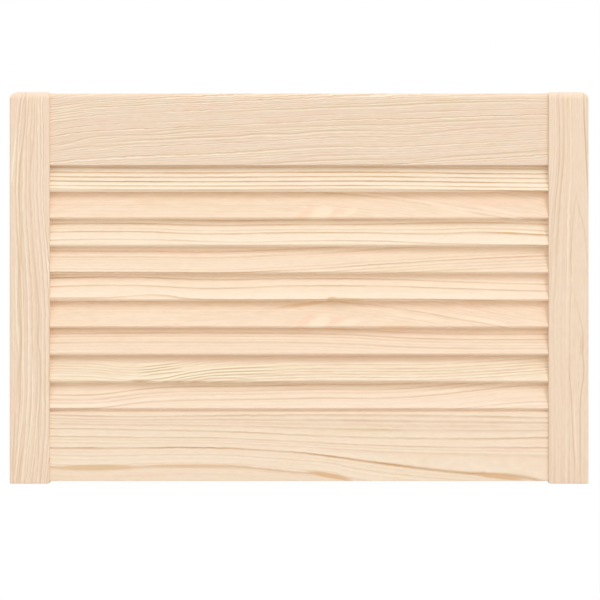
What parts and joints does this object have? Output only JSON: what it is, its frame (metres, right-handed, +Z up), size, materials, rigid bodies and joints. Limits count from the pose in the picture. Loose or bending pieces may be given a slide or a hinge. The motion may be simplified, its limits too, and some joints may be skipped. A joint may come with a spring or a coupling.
{
  "type": "louvred cabinet door",
  "caption": "Louvred cabinet door in pale pine: a dowelled frame of stiles and rails with a row of fixed, back-leaning slats housed in the stiles to let air through.",
  "frame": {"origin": "bottom centre of the door, on the surface that the stile ends stand on, at mid thickness", "axes": "+X along the width to the right as seen from the front, +Y from the front to the back, +Z up"},
  "size_m": [0.594, 0.021, 0.4017],
  "materials": {
    "pine_frame": "planed and sanded pine, bare or clear matt",
    "pine_slat": "planed and sanded pine, bare or clear matt",
    "beech_dowel": "fluted beech, bare"
  },
  "bodies": {
    "root": {"left_stile": "pine_frame", "right_stile": "pine_frame", "top_rail": "pine_frame", "bottom_rail": "pine_frame", "louvre_slat_1": "pine_slat", "louvre_slat_2": "pine_slat", "louvre_slat_3": "pine_slat", "louvre_slat_4": "pine_slat", "louvre_slat_5": "pine_slat", "louvre_slat_6": "pine_slat", "louvre_slat_7": "pine_slat", "louvre_slat_8": "pine_slat", "louvre_slat_9": "pine_slat", "dowel_top_left_upper": "beech_dowel", "dowel_top_left_lower": "beech_dowel", "dowel_top_right_upper": "beech_dowel", "dowel_top_right_lower": "beech_dowel", "dowel_bottom_left_upper": "beech_dowel", "dowel_bottom_left_lower": "beech_dowel", "dowel_bottom_right_upper": "beech_dowel", "dowel_bottom_right_lower": "beech_dowel"}
  },
  "joints": []
}
